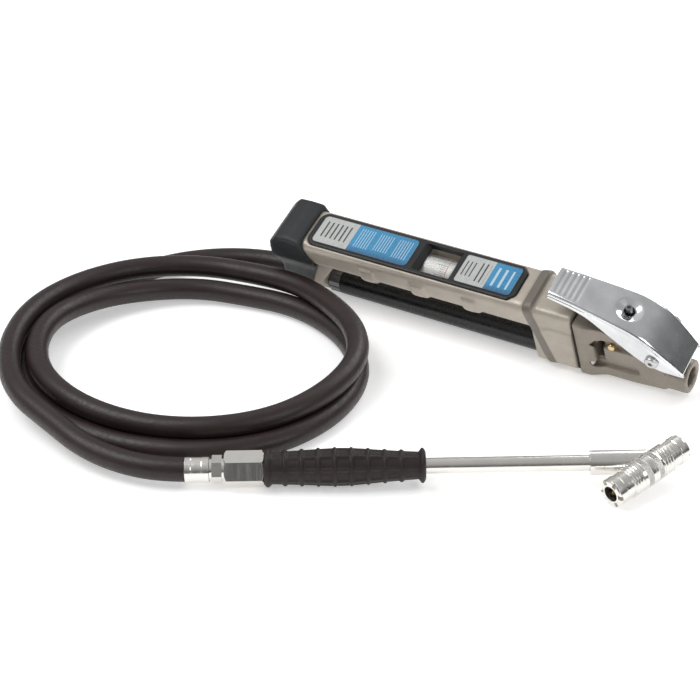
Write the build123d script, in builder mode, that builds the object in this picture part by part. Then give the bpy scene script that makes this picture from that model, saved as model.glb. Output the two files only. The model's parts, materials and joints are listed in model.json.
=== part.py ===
"""Hand-held airline tyre inflator with a drum gauge, a coiled hose and a twin connector wand.

The handle and the wand are each drawn in a frame of their own and then laid on the floor.
Handle frame: X runs from the rear boot to the air inlet at x = 0, Z is up out of the label face
at z = 0, and Y is the width. Wand frame: X runs from the hose ferrule to the twin connector.
"""
import os
from math import cos, radians, sin, tan

from build123d import *

os.makedirs("parts", exist_ok=True)

# ---------------------------------------------------------------- driving dimensions (mm, degrees)
HOSE_OD = 13.0
HOSE_BORE = 6.35
TUBE_R = 8.0                 # black air tube under the handle
TUBE_Z = -47.0               # its axis below the label face
INLET_Z = -42.5              # air inlet axis
ROLL = 24.66                 # the handle lies over on its near side by this much
FLOOR_TO_FACE = TUBE_R - TUBE_Z * cos(radians(ROLL))
HANDLE_X, HANDLE_Y = 117.0, 89.52
HANDLE_PLACE = Location((HANDLE_X, HANDLE_Y, FLOOR_TO_FACE), (ROLL, 0, 0))

WAND_START = (-71.2, -115.28, 9.3)
WAND_YAW = 32.6
WAND_RISE = 0.85
WAND_PLACE = Location(WAND_START, (0, -WAND_RISE, WAND_YAW))

# handle casting
BEAM_HALF_WIDTH = 15.5
BEAM_BOTTOM = -21.0
BEAM_CORNER = 8.5
BEAM_TOP, BEAM_TOP_CORNER = -0.5, 4.4
BEAM_REAR = -247.0
SEAT_Z, SEAT_HALF = -3.0, 12.6    # recess that the gauge cover sits in
COVER_REAR, COVER_FRONT = -240.0, -100.0
SHOULDER_Z = -6.5            # top of the finger bumps
BLOCK_REAR, JOINT_X = -90.0, -64.0
BLOCK_HALF_WIDTH, BLOCK_BOTTOM = 15.0, -47.5
GAUGE_Z, GAUGE_BORE_R = -11.5, 8.0
SPIGOT_R = 6.0
GRIP_BUMPS = (-197.0, -162.5, -128.0)

# gauge
DRUM_REAR, DRUM_FRONT, DRUM_R = -170.0, -137.0, 7.4
DRUM_WIDE_REAR, DRUM_WIDE_FRONT, DRUM_WIDE_R = -163.6, -144.4, 8.2
WINDOW_REAR, WINDOW_FRONT, WINDOW_HALF = -163.5, -144.5, 9.5

# valve body
HEAD_HALF_WIDTH, HEAD_BOTTOM = 14.5, -50.2
BOSS_R, BOSS_REAR = 9.85, -15.0
THREAD_R, THREAD_DEPTH = 5.9, 12.0
INFLATE_X, DEFLATE_X = -33.0, -51.0

# lever
PIVOT_X, PIVOT_Z = -16.0, -18.0
LEVER_GAUGE = 1.6            # sheet thickness
LEVER_HALF = 13.9
LEVER_REAR_HALF = 10.6

# wand
NUT_FLATS = 17.0
GRIP_START, GRIP_END = 41.0, 125.0
WAND_TUBE_R = 4.25
SOCKET_START, SOCKET_R = 210.0, 6.5
CONNECTOR_YAW, CONNECTOR_RISE = 38.0, 9.5
MOUTH_R = 4.3


def write(name, piece, place=Location()):
    """Lay a finished piece in its place, label it and write its STEP file."""
    placed = place * piece
    placed.label = name
    export_step(placed, f"parts/{name}.step")
    return placed


def turned(outline, axis_z=0.0):
    """A solid turned about an axis parallel to X from (x, radius) points."""
    with BuildPart() as piece:
        with BuildSketch(Plane.XZ):
            with BuildLine():
                Polyline(*[(x, axis_z + r) for x, r in outline], close=True)
            make_face()
        revolve(axis=Axis((0, 0, axis_z), (1, 0, 0)))
    return piece.part


def sleeve(x_start, x_end, outer, inner, axis_z=0.0):
    """A plain round sleeve, or a rod when inner is zero."""
    return turned([(x_start, inner), (x_end, inner), (x_end, outer), (x_start, outer)], axis_z)


def upright(x, y, outline):
    """A solid turned about a vertical axis at x, y from (z, radius) points."""
    with BuildPart() as piece:
        with BuildSketch(Plane.XZ):
            with BuildLine():
                Polyline(*[(x + r, z) for z, r in outline], close=True)
            make_face()
        revolve(axis=Axis((x, 0, 0), (0, 0, 1)))
    return Location((0, y, 0)) * piece.part


def coil_spring(length, mean_r, wire_r, turns):
    """A compression spring along +Z, with its lower end turn centred on z = wire_r."""
    with BuildPart() as piece:
        with BuildLine():
            Helix(pitch=(length - 2 * wire_r) / turns, height=length - 2 * wire_r, radius=mean_r,
                  center=(0, 0, wire_r))
        with BuildSketch(Plane(origin=(mean_r, 0, wire_r), z_dir=(0, 1, 0))):
            Circle(wire_r)
        sweep(is_frenet=True)
    return piece.part


def block_section(half_width, top, bottom, top_corner, bottom_corner):
    """A rectangle across the handle with its own corner radii at top and bottom."""
    with BuildSketch() as section:
        with Locations((0, (top + bottom) / 2)):
            Rectangle(2 * half_width, top - bottom)
        fillet(section.vertices().group_by(Axis.Y)[-1], top_corner)
        fillet(section.vertices().group_by(Axis.Y)[0], bottom_corner)
    return section.sketch


# ---------------------------------------------------------------- handle casting
def seat_pocket():
    """The recess in the top of the barrel that the gauge cover fills."""
    with BuildPart() as pocket:
        with BuildSketch(Plane.XY.offset(SEAT_Z)) as plan:
            with Locations((COVER_REAR / 2 + COVER_FRONT / 2, 0)):
                Rectangle(COVER_FRONT - COVER_REAR, 2 * SEAT_HALF)
            fillet(plan.vertices().group_by(Axis.X)[0], 6.0)
            chamfer(plan.vertices().group_by(Axis.X)[-1], 4.0)
        extrude(amount=6.0)
    return pocket.part


def finger_bump(bump_x):
    """A raised ring under the barrel with softened edges."""
    with BuildPart() as bump:
        with BuildSketch(Plane.YZ.offset(bump_x - 5.0)):
            add(block_section(BEAM_HALF_WIDTH + 1.6, SHOULDER_Z, BEAM_BOTTOM - 1.6, 1.0, BEAM_CORNER + 1.6))
        extrude(amount=10.0)
        fillet(bump.edges().group_by(Axis.X)[0], 1.4)
        fillet(bump.edges().group_by(Axis.X)[-1], 1.4)
    return bump.part


def rear_post():
    """The leaning post at the rear that carries the air tube and the hose nipple."""
    with BuildPart() as post:
        with BuildSketch(Plane.XZ):
            with BuildLine():
                Polyline((-247, -12), (-223, -12), (-229, -26), (-238, -38.6), (-238, -55.5), (-256, -55.5),
                         (-256, -34), (-247, -12))
            make_face()
        extrude(amount=11.0, both=True)
        with BuildSketch(Plane.YZ.offset(-260.0)):
            add(block_section(10.9, -11.0, -46.0, 1.0, 6.0))
            with Locations((0, TUBE_Z)):
                Circle(7.25)
        extrude(amount=40.0, mode=Mode.INTERSECT)
    return post.part


def rear_core():
    """The rear of the casting: barrel end, raised rim and the post down to the air tube."""
    with BuildPart() as core:
        with BuildSketch(Plane.YZ.offset(BEAM_REAR)):
            add(block_section(BEAM_HALF_WIDTH, BEAM_TOP, BEAM_BOTTOM, BEAM_TOP_CORNER, BEAM_CORNER))
        extrude(amount=30.0)
        fillet(core.edges().filter_by(Axis.Y).group_by(Axis.X)[0], 2.0)
        add(rear_post())
    return core.part


with BuildPart() as handle_casting:
    with BuildSketch(Plane.YZ.offset(BEAM_REAR + 10.0)):
        add(block_section(BEAM_HALF_WIDTH, BEAM_TOP, BEAM_BOTTOM, BEAM_TOP_CORNER, BEAM_CORNER))
    extrude(amount=BLOCK_REAR - BEAM_REAR - 8.0)
    # finger bumps along the barrel, each with a half-moon relief in front of it
    for bump_x in GRIP_BUMPS:
        add(finger_bump(bump_x))
        for side in (-1, 1):
            with BuildSketch(Plane.XZ.offset(-side * (BEAM_HALF_WIDTH - 1.2))):
                with Locations((bump_x + 6.5, BEAM_BOTTOM + 2.0)):
                    Circle(4.2)
            extrude(amount=-side * 4.0, mode=Mode.SUBTRACT)
    add(rear_core())
    add(seat_pocket(), mode=Mode.SUBTRACT)
    # front block, its lobe round the tube spigot and its slanted collar
    with BuildSketch(Plane.YZ.offset(BLOCK_REAR)):
        add(block_section(BLOCK_HALF_WIDTH, -1.0, BLOCK_BOTTOM, 4.0, 4.0))
    extrude(amount=JOINT_X - BLOCK_REAR)
    with BuildSketch(Plane.YZ.offset(-84.0)):
        with Locations((0, TUBE_Z)):
            Circle(TUBE_R)
    extrude(amount=JOINT_X + 84.0)
    collar_plane = Plane(origin=(-93.5, 0, 0), x_dir=(0, 1, 0), z_dir=(cos(radians(14)), 0, sin(radians(14))))
    with BuildSketch(collar_plane) as collar:
        with Locations((0, -24.6)):
            Rectangle(32.6, 49.6)
        fillet(collar.vertices(), 5.0)
    extrude(amount=6.0)
    # domed pads on the block's sides and the ledge above them
    for side in (-1, 1):
        with BuildSketch(Plane.XZ.offset(-side * 13.0)) as pad:
            with Locations((-75.0, -28.5)):
                Rectangle(22.0, 30.0)
            fillet(pad.vertices().group_by(Axis.X)[0], 10.0)
        extrude(amount=-side * 3.2)
        with BuildSketch(Plane.XZ.offset(-side * (BLOCK_HALF_WIDTH - 0.6))):
            with Locations((-76.0, -8.0)):
                Rectangle(24.0, 1.2)
        extrude(amount=-side * 2.0, mode=Mode.SUBTRACT)
    # gauge bore, open to the window above it
    with BuildSketch(Plane.YZ.offset(-178.0)):
        with Locations((0, GAUGE_Z)):
            Circle(GAUGE_BORE_R)
    extrude(amount=100.0, mode=Mode.SUBTRACT)
    with BuildSketch(Plane.XY.offset(GAUGE_Z)):
        with Locations(((WINDOW_REAR + WINDOW_FRONT) / 2, 0)):
            Rectangle(WINDOW_FRONT - WINDOW_REAR + 3.0, 2 * WINDOW_HALF + 1.0)
    extrude(amount=12.0, mode=Mode.SUBTRACT)
    add(sleeve(DRUM_WIDE_REAR - 0.6, DRUM_WIDE_FRONT + 0.6, DRUM_WIDE_R + 0.4, 0, GAUGE_Z), mode=Mode.SUBTRACT)
    # air duct from the head down to the tube and up to the gauge
    with BuildSketch(Plane.XY.offset(TUBE_Z + 3.0)):
        with Locations((-70.0, 0)):
            Circle(2.5)
    extrude(amount=GAUGE_Z - TUBE_Z - 2.0, mode=Mode.SUBTRACT)
    with BuildSketch(Plane.YZ.offset(-80.0)):
        with Locations((0, GAUGE_Z)):
            Circle(2.0)
    extrude(amount=10.5, mode=Mode.SUBTRACT)
    with BuildSketch(Plane.YZ.offset(-70.5)):
        with Locations((0, -28.0)):
            Circle(2.1)
    extrude(amount=8.0, mode=Mode.SUBTRACT)
    # sockets for the tube, its spigots and the hose nipple
    add(sleeve(-110.0, -84.0, TUBE_R, 0, TUBE_Z), mode=Mode.SUBTRACT)
    with BuildSketch(Plane.YZ.offset(-85.0)):
        with Locations((0, TUBE_Z)):
            Circle(SPIGOT_R)
    extrude(amount=16.0, mode=Mode.SUBTRACT)
    with BuildSketch(Plane.YZ.offset(-257.0)):
        with Locations((0, TUBE_Z)):
            Circle(SPIGOT_R)
    extrude(amount=20.0, mode=Mode.SUBTRACT)
    # tapped holes for the head bolts
    for side in (-1, 1):
        with BuildSketch(Plane.YZ.offset(-76.0)):
            with Locations((side * 10.0, -20.0), (side * 10.5, -38.0)):
                Circle(1.9)
        extrude(amount=13.0, mode=Mode.SUBTRACT)
write("handle_casting", handle_casting.part, HANDLE_PLACE)

# ---------------------------------------------------------------- gauge cover and labels
with BuildPart() as gauge_cover:
    add(seat_pocket())
    with BuildSketch(Plane.XY):
        Rectangle(600.0, 60.0)
    extrude(amount=6.0, mode=Mode.SUBTRACT)
    fillet(gauge_cover.faces().sort_by(Axis.Z)[-1].edges(), 0.6)
    # window with sloping sides
    with BuildSketch(Plane.XY.offset(SEAT_Z)):
        with Locations(((WINDOW_REAR + WINDOW_FRONT) / 2, 0)):
            Rectangle(WINDOW_FRONT - WINDOW_REAR, 2 * WINDOW_HALF)
    with BuildSketch(Plane.XY):
        with Locations(((WINDOW_REAR + WINDOW_FRONT) / 2 - 1.0, 0)):
            Rectangle(WINDOW_FRONT - WINDOW_REAR + 6.0, 2 * WINDOW_HALF + 1.6)
    loft(mode=Mode.SUBTRACT)
    # shallow seats for the two labels
    with BuildSketch(Plane.XY.offset(-0.3)):
        with Locations((-204.0, 0)):
            RectangleRounded(66.0, 21.2, 4.0)
        with Locations((-121.5, 0)):
            RectangleRounded(37.0, 21.2, 3.0)
    extrude(amount=1.0, mode=Mode.SUBTRACT)
write("gauge_cover", gauge_cover.part, HANDLE_PLACE)

for label_name, label_x, label_length, label_corner in (
        ("rear_label", -204.0, 65.6, 3.8), ("front_label", -121.5, 36.6, 2.8)):
    with BuildPart() as label_plate:
        with BuildSketch(Plane.XY.offset(-0.3)):
            with Locations((label_x, 0)):
                RectangleRounded(label_length, 20.8, label_corner)
        extrude(amount=0.45)
    write(label_name, label_plate.part, HANDLE_PLACE)

# ---------------------------------------------------------------- gauge
with BuildPart() as gauge_lens:
    add(sleeve(WINDOW_REAR + 0.2, WINDOW_FRONT - 0.2, 9.7, 9.0, GAUGE_Z))
    with BuildSketch(Plane.XY.offset(GAUGE_Z + 3.0)):
        with Locations(((WINDOW_REAR + WINDOW_FRONT) / 2, 0)):
            Rectangle(40.0, 2 * WINDOW_HALF - 0.6)
    extrude(amount=10.0, mode=Mode.INTERSECT)
write("gauge_lens", gauge_lens.part, HANDLE_PLACE)

drum_shell = turned([(DRUM_REAR, 5.8), (DRUM_FRONT, 5.8), (DRUM_FRONT, DRUM_R), (DRUM_WIDE_FRONT, DRUM_R),
                     (DRUM_WIDE_FRONT, DRUM_WIDE_R), (DRUM_WIDE_REAR, DRUM_WIDE_R), (DRUM_WIDE_REAR, DRUM_R),
                     (DRUM_REAR, DRUM_R)], GAUGE_Z)
drum_web = sleeve(DRUM_FRONT - 3.0, DRUM_FRONT, 5.8, 1.5, GAUGE_Z)
write("gauge_drum", drum_shell + drum_web, HANDLE_PLACE)
write("drum_spindle", sleeve(DRUM_REAR - 5.0, -101.0, 1.5, 0, GAUGE_Z), HANDLE_PLACE)
write("drum_rear_bush", sleeve(DRUM_REAR - 7.0, DRUM_REAR - 1.0, GAUGE_BORE_R, 1.55, GAUGE_Z), HANDLE_PLACE)
write("drum_front_bush", sleeve(DRUM_FRONT + 1.0, DRUM_FRONT + 4.0, GAUGE_BORE_R, 1.55, GAUGE_Z), HANDLE_PLACE)
write("gauge_barrel", sleeve(-133.0, -79.0, GAUGE_BORE_R, 6.4, GAUGE_Z), HANDLE_PLACE)
piston = turned([(-103.0, 1.55), (-99.0, 1.55), (-99.0, 2.6), (-95.0, 2.6), (-95.0, 6.3), (-97.4, 6.3),
                 (-97.4, 5.0), (-100.4, 5.0), (-100.4, 6.3), (-103.0, 6.3)], GAUGE_Z)
write("gauge_piston", piston, HANDLE_PLACE)
write("piston_seal", sleeve(-100.3, -97.5, 6.38, 5.0, GAUGE_Z), HANDLE_PLACE)
gauge_spring = Location((-132.9, 0, GAUGE_Z), (0, 90, 0)) * coil_spring(29.4, 4.4, 0.5, 9)
write("gauge_spring", gauge_spring, HANDLE_PLACE)

# ---------------------------------------------------------------- air tube and rear fittings
tube_outline = [(-249.0, 3.4), (-70.0, 3.4), (-70.0, 5.9), (-84.0, 5.9), (-84.0, TUBE_R), (-230.0, TUBE_R),
                (-230.0, 5.9), (-249.0, 5.9)]
outlet_tube = turned(tube_outline, TUBE_Z)
with BuildPart() as outlet_tube_grooved:
    add(outlet_tube)
    for groove_x in (-78.0, -242.0):
        add(sleeve(groove_x, groove_x + 2.0, 6.5, 4.9, TUBE_Z), mode=Mode.SUBTRACT)
write("outlet_tube", outlet_tube_grooved.part, HANDLE_PLACE)
with BuildPart() as outlet_tube_seals:
    for groove_x in (-78.0, -242.0):
        add(sleeve(groove_x + 0.1, groove_x + 1.9, SPIGOT_R, 4.95, TUBE_Z))
write("outlet_tube_seals", outlet_tube_seals.part, HANDLE_PLACE)

with BuildPart() as outlet_tube_nut:
    with BuildSketch(Plane.YZ.offset(-237.8)):
        with Locations((0, TUBE_Z)):
            Circle(7.3)
            with PolarLocations(6.0, 10):
                Circle(1.9)
            Circle(5.95, mode=Mode.SUBTRACT)
    extrude(amount=7.6)
write("outlet_tube_nut", outlet_tube_nut.part, HANDLE_PLACE)

nipple_outline = [(-266.0, 1.8), (-249.5, 1.8), (-249.5, 5.9), (-256.0, 5.9), (-256.0, 3.2)]
for barb in range(3):
    barb_x = -258.0 - 2.6 * barb
    nipple_outline += [(barb_x, 3.0), (barb_x - 0.2, 3.5), (barb_x - 2.4, 2.8)]
nipple_outline += [(-266.0, 2.8)]
write("rear_hose_nipple", turned(nipple_outline, TUBE_Z), HANDLE_PLACE)

with BuildPart() as rear_boot:
    with BuildSketch(Plane.XZ):
        with BuildLine():
            Polyline((-241.0, 1.6), (-250.0, 3.2), (-259.0, 1.8), (-264.5, -4.0), (-266.0, -14.0),
                     (-264.0, -30.0), (-266.0, -44.0), (-266.0, -56.0), (-249.0, -56.0), (-246.0, -44.0),
                     (-236.0, -20.0), (-235.0, -14.0), (-238.0, -8.0), close=True)
        make_face()
    extrude(amount=17.0, both=True)
    # narrower below, down to the lobe round the hose
    with BuildSketch(Plane.YZ.offset(-270.0)) as waist:
        with BuildLine():
            Polyline((-17.1, 5.0), (-17.1, -16.0), (-13.4, -26.0), (-12.2, -47.5), (12.2, -47.5), (13.4, -26.0),
                     (17.1, -16.0), (17.1, 5.0), (-17.1, 5.0))
        make_face()
        fillet(waist.vertices().group_by(Axis.Y)[0], 8.0)
        fillet(waist.vertices().group_by(Axis.Y)[-1], 5.0)
        with Locations((0, TUBE_Z)):
            Circle(7.95)
    extrude(amount=40.0, mode=Mode.INTERSECT)
    add(rear_core(), mode=Mode.SUBTRACT)
    add(gauge_cover.part, mode=Mode.SUBTRACT)
    with BuildSketch(Plane.YZ.offset(-270.0)):
        with Locations((0, TUBE_Z)):
            Circle(HOSE_OD / 2)
    extrude(amount=14.0, mode=Mode.SUBTRACT)
write("rear_boot", rear_boot.part, HANDLE_PLACE)

# ---------------------------------------------------------------- valve body
with BuildPart() as valve_body:
    with BuildSketch(Plane.XZ):
        with BuildLine():
            Polyline((JOINT_X + 0.8, -4.0), (-56.0, -5.6), (-44.0, -9.5), (-26.0, -12.4), (-13.0, -14.5),
                     (-9.5, -22.0), (-12.0, -33.0), (-12.0, HEAD_BOTTOM), (JOINT_X + 0.8, HEAD_BOTTOM),
                     close=True)
        make_face()
    extrude(amount=HEAD_HALF_WIDTH, both=True)
    # plan taper towards the inlet
    with BuildSketch(Plane.XY.offset(-60.0)):
        with BuildLine():
            Polyline((-70, -14.5), (-57, -14.5), (-48, -11.0), (-30, -10.8), (-12, -9.6), (-5, -9.6), (-5, 9.6),
                     (-12, 9.6), (-30, 10.8), (-48, 11.0), (-57, 14.5), (-70, 14.5), close=True)
        make_face()
    extrude(amount=60.0, mode=Mode.INTERSECT)
    fillet(valve_body.faces().sort_by(Axis.Z)[0].edges().sort_by(Axis.X)[1:], 3.0)
    with BuildSketch(Plane.YZ.offset(BOSS_REAR)):
        with Locations((0, INLET_Z)):
            Circle(BOSS_R)
    extrude(amount=-BOSS_REAR)
    # inlet thread and passage
    with BuildSketch(Plane.YZ):
        with Locations((0, INLET_Z)):
            Circle(THREAD_R)
    extrude(amount=-THREAD_DEPTH, mode=Mode.SUBTRACT)
    with BuildSketch(Plane.YZ):
        with Locations((0, INLET_Z)):
            Circle(3.4)
    extrude(amount=INFLATE_X, mode=Mode.SUBTRACT)
    # inflate chamber from below, stem bore above it
    with BuildSketch(Plane.XY.offset(-60.0)):
        with Locations((INFLATE_X, 0)):
            Circle(6.0)
    extrude(amount=26.0, mode=Mode.SUBTRACT)
    with BuildSketch(Plane.XY.offset(-35.0)):
        with Locations((INFLATE_X, 0)):
            Circle(3.2)
    extrude(amount=12.0, mode=Mode.SUBTRACT)
    with BuildSketch(Plane.XY.offset(-24.0)):
        with Locations((INFLATE_X, 0)):
            Circle(2.05)
    extrude(amount=20.0, mode=Mode.SUBTRACT)
    # deflate chamber and its stem bore
    with BuildSketch(Plane.XY.offset(-60.0)):
        with Locations((DEFLATE_X, 0)):
            Circle(4.5)
    extrude(amount=24.0, mode=Mode.SUBTRACT)
    with BuildSketch(Plane.XY.offset(-40.0)):
        with Locations((DEFLATE_X, 0)):
            Circle(2.6)
    extrude(amount=18.0, mode=Mode.SUBTRACT)
    with BuildSketch(Plane.XY.offset(-24.0)):
        with Locations((DEFLATE_X, 0)):
            Circle(1.55)
    extrude(amount=24.0, mode=Mode.SUBTRACT)
    # delivery passage to the handle, and the branch to the deflate chamber
    with BuildSketch(Plane.YZ.offset(JOINT_X)):
        with Locations((0, -28.0)):
            Circle(2.2)
    extrude(amount=INFLATE_X - JOINT_X, mode=Mode.SUBTRACT)
    # oval exhaust port on each side
    with BuildSketch(Plane.XZ):
        with Locations((DEFLATE_X + 1.0, -28.5)):
            SlotOverall(14.0, 4.6, rotation=90)
    extrude(amount=20.0, mode=Mode.SUBTRACT)
    # hole for the bleed screw
    with BuildSketch(Plane.XZ.offset(6.0)):
        with Locations((-41.5, -19.0)):
            Circle(1.6)
    extrude(amount=10.0, mode=Mode.SUBTRACT)
    # lever pivot bore
    with BuildSketch(Plane.XZ):
        with Locations((PIVOT_X, PIVOT_Z)):
            Circle(2.55)
    extrude(amount=20.0, both=True, mode=Mode.SUBTRACT)
    # counterbored bolt holes through the flange
    for side in (-1, 1):
        with BuildSketch(Plane.YZ.offset(JOINT_X)):
            with Locations((side * 10.0, -20.0), (side * 10.5, -38.0)):
                Circle(2.1)
        extrude(amount=7.0, mode=Mode.SUBTRACT)
        with BuildSketch(Plane.YZ.offset(JOINT_X + 6.5)):
            with Locations((side * 10.0, -20.0), (side * 10.5, -38.0)):
                Circle(3.1)
        extrude(amount=30.0, mode=Mode.SUBTRACT)
write("valve_body", valve_body.part, HANDLE_PLACE)

with BuildPart() as head_gasket:
    with BuildSketch(Plane.YZ.offset(JOINT_X)):
        add(block_section(14.2, -6.2, -47.0, 3.0, 3.0))
    extrude(amount=0.8)
    with BuildSketch(Plane.YZ.offset(JOINT_X)):
        with Locations((0, -28.0)):
            Circle(2.6)
        for side in (-1, 1):
            with Locations((side * 10.0, -20.0), (side * 10.5, -38.0)):
                Circle(2.1)
    extrude(amount=0.8, mode=Mode.SUBTRACT)
write("head_gasket", head_gasket.part, HANDLE_PLACE)

with BuildPart() as head_bolts:
    for side in (-1, 1):
        for bolt_y, bolt_z in ((10.0, -20.0), (10.5, -38.0)):
            bolt = turned([(-74.0, 0), (-53.6, 0), (-53.6, 1.2), (-54.6, 3.0), (-57.5, 3.0), (-57.5, 1.9),
                           (-74.0, 1.9)], bolt_z)
            add(Location((0, side * bolt_y, 0)) * bolt)
write("head_bolts", head_bolts.part, HANDLE_PLACE)

# ---------------------------------------------------------------- inflate and deflate valves
inflate_stem = upright(INFLATE_X, 0, [(-2.5, 0), (-2.5, 1.2), (-3.3, 2.0), (-30.0, 2.0), (-33.6, 1.6),
                                      (-35.6, 1.6), (-35.6, 4.2), (-38.4, 4.2), (-38.4, 2.0), (-41.0, 2.0),
                                      (-41.0, 0)])
write("inflate_valve_stem", inflate_stem, HANDLE_PLACE)
write("inflate_valve_seat", upright(INFLATE_X, 0, [(-34.0, 2.4), (-34.0, 6.0), (-35.5, 6.0), (-35.5, 2.4)]),
      HANDLE_PLACE)
inflate_spring = Location((INFLATE_X, 0, -46.9)) * coil_spring(8.4, 3.0, 0.4, 5)
write("inflate_valve_spring", inflate_spring, HANDLE_PLACE)
write("inflate_valve_plug", upright(INFLATE_X, 0, [(-47.0, 0), (-47.0, 6.0), (-50.0, 6.0), (-50.0, 0)]),
      HANDLE_PLACE)
deflate_stem = upright(DEFLATE_X, 0, [(4.4, 0), (4.4, 0.9), (3.8, 1.5), (-36.2, 1.5), (-36.2, 3.6),
                                      (-38.2, 3.6), (-38.2, 1.4), (-40.5, 1.4), (-40.5, 0)])
write("deflate_valve_stem", deflate_stem, HANDLE_PLACE)
deflate_spring = Location((DEFLATE_X, 0, -46.9)) * coil_spring(8.6, 2.4, 0.35, 5)
write("deflate_valve_spring", deflate_spring, HANDLE_PLACE)
write("deflate_valve_plug", upright(DEFLATE_X, 0, [(-47.0, 0), (-47.0, 4.5), (-50.0, 4.5), (-50.0, 0)]),
      HANDLE_PLACE)

with BuildPart() as bleed_screw:
    with BuildSketch(Plane.XZ.offset(6.2)):
        with Locations((-41.5, -19.0)):
            Circle(1.6)
    extrude(amount=5.0)
    with BuildSketch(Plane.XZ.offset(11.2)):
        with Locations((-41.5, -19.0)):
            Circle(2.2)
    extrude(amount=1.8)
    fillet(bleed_screw.edges().group_by(Axis.Y)[0], 1.2)
write("bleed_screw", bleed_screw.part, HANDLE_PLACE)

write("inlet_filter", sleeve(-THREAD_DEPTH - 2.0, -THREAD_DEPTH - 0.6, 3.4, 0, INLET_Z), HANDLE_PLACE)

# ---------------------------------------------------------------- lever
LEVER_TOP = [(-77.0, 14.0), (-60.0, 11.0), (-42.0, 7.0), (-28.0, 3.0), (-18.0, -3.0), (-8.0, -14.0),
             (1.0, -26.0)]
LEVER_EDGE = [(1.0, -28.5), (-12.0, -26.0), (-22.0, -22.0), (-40.0, -8.5), (-56.0, 3.2), (-77.0, 8.8)]


def lever_block(inset):
    """The lever's outer form, or the hollow inside it when inset is the sheet's thickness."""
    with BuildPart() as block:
        with BuildSketch(Plane.XZ):
            with BuildLine():
                Spline(*[(x, z - 1.1 * inset) for x, z in LEVER_TOP])
                Polyline((1.0, -26.0 - 1.1 * inset), *[(x, z - 9 * inset) for x, z in LEVER_EDGE],
                         (-77.0, 14.0 - 1.1 * inset))
            make_face()
        extrude(amount=LEVER_HALF, both=True)
        with BuildSketch(Plane.XY.offset(-60.0)):
            with BuildLine():
                Polyline((-77.0 + inset, inset - LEVER_REAR_HALF), (-30.0, inset - LEVER_HALF),
                         (-14.0, inset - LEVER_HALF), (1.0 + inset, inset - 12.0),
                         (1.0 + inset, 12.0 - inset), (-14.0, LEVER_HALF - inset),
                         (-30.0, LEVER_HALF - inset), (-77.0 + inset, LEVER_REAR_HALF - inset), close=True)
            make_face()
        extrude(amount=90.0, mode=Mode.INTERSECT)
    return block.part


with BuildPart() as lever:
    add(lever_block(0.0))
    add(lever_block(LEVER_GAUGE), mode=Mode.SUBTRACT)
    with BuildSketch(Plane.XZ):
        with Locations((PIVOT_X, PIVOT_Z)):
            Circle(2.6)
    extrude(amount=20.0, both=True, mode=Mode.SUBTRACT)
    with BuildSketch(Plane.XY.offset(-5.0)):
        with Locations((INFLATE_X, 0)):
            Circle(2.05)
    extrude(amount=20.0, mode=Mode.SUBTRACT)
write("lever", lever.part, HANDLE_PLACE)

SCREW_TIP = -2.1
write("lever_adjusting_screw", upright(INFLATE_X, 0, [(SCREW_TIP, 0), (SCREW_TIP, 1.4), (-1.2, 2.0), (6.2, 2.0),
                                                      (6.2, 1.0), (5.2, 1.0), (5.2, 0)]), HANDLE_PLACE)
with BuildPart() as adjusting_locknut:
    with BuildSketch(Plane.XY.offset(-0.6)):
        with Locations((INFLATE_X, 0)):
            RegularPolygon(4.0, 6)
            Circle(2.0, mode=Mode.SUBTRACT)
    extrude(amount=2.2)
write("adjusting_locknut", adjusting_locknut.part, HANDLE_PLACE)

with BuildPart() as lever_pivot_screw:
    with BuildSketch(Plane.XZ.offset(-17.0)):
        with Locations((PIVOT_X, PIVOT_Z)):
            Circle(2.5)
    extrude(amount=17.0 + LEVER_HALF + 0.1)
    with BuildSketch(Plane.XZ.offset(LEVER_HALF + 0.1)):
        with Locations((PIVOT_X, PIVOT_Z)):
            Circle(4.0)
    extrude(amount=2.4)
    fillet(lever_pivot_screw.edges().group_by(Axis.Y)[0], 1.4)
    with BuildSketch(Plane.XZ.offset(LEVER_HALF + 1.0)):
        with Locations((PIVOT_X, PIVOT_Z)):
            RegularPolygon(1.5, 6)
    extrude(amount=3.0, mode=Mode.SUBTRACT)
write("lever_pivot_screw", lever_pivot_screw.part, HANDLE_PLACE)

with BuildPart() as lever_pivot_nut:
    with BuildSketch(Plane.XZ.offset(-LEVER_HALF - 0.2)):
        with Locations((PIVOT_X, PIVOT_Z)):
            RegularPolygon(4.4, 6)
            Circle(2.5, mode=Mode.SUBTRACT)
    extrude(amount=-3.0)
write("lever_pivot_nut", lever_pivot_nut.part, HANDLE_PLACE)

# ---------------------------------------------------------------- wand: ferrule to tube
write("hose_ferrule", turned([(0, 6.5), (12.5, 6.5), (12.5, 6.95), (9.0, 6.95), (8.6, 6.8), (3.4, 6.8),
                              (3.0, 6.95), (0, 6.95)]), WAND_PLACE)

with BuildPart() as hose_tail:
    add(turned([(-9.0, 1.9), (26.0, 1.9), (26.0, 4.6), (20.3, 4.6), (20.3, 6.0), (12.6, 6.0), (12.6, 3.1),
                (-9.0, 3.1)]))
    with BuildSketch(Plane.YZ.offset(14.0)):
        RegularPolygon(6.5, 6, major_radius=False)
        Circle(5.5, mode=Mode.SUBTRACT)
    extrude(amount=5.2)
write("hose_tail", hose_tail.part, WAND_PLACE)

with BuildPart() as union_nut:
    with BuildSketch(Plane.YZ.offset(20.5)):
        RegularPolygon(NUT_FLATS / 2, 6, major_radius=False, rotation=8)
    extrude(amount=20.5)
    add(turned([(20.5, 8.6), (21.6, 9.9), (39.9, 9.9), (41.0, 8.6), (41.0, 0), (20.5, 0)]),
        mode=Mode.INTERSECT)
    add(sleeve(20.0, 26.0, 4.65, 0), mode=Mode.SUBTRACT)
    add(sleeve(25.9, 42.0, 4.3, 0), mode=Mode.SUBTRACT)
write("union_nut", union_nut.part, WAND_PLACE)

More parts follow.
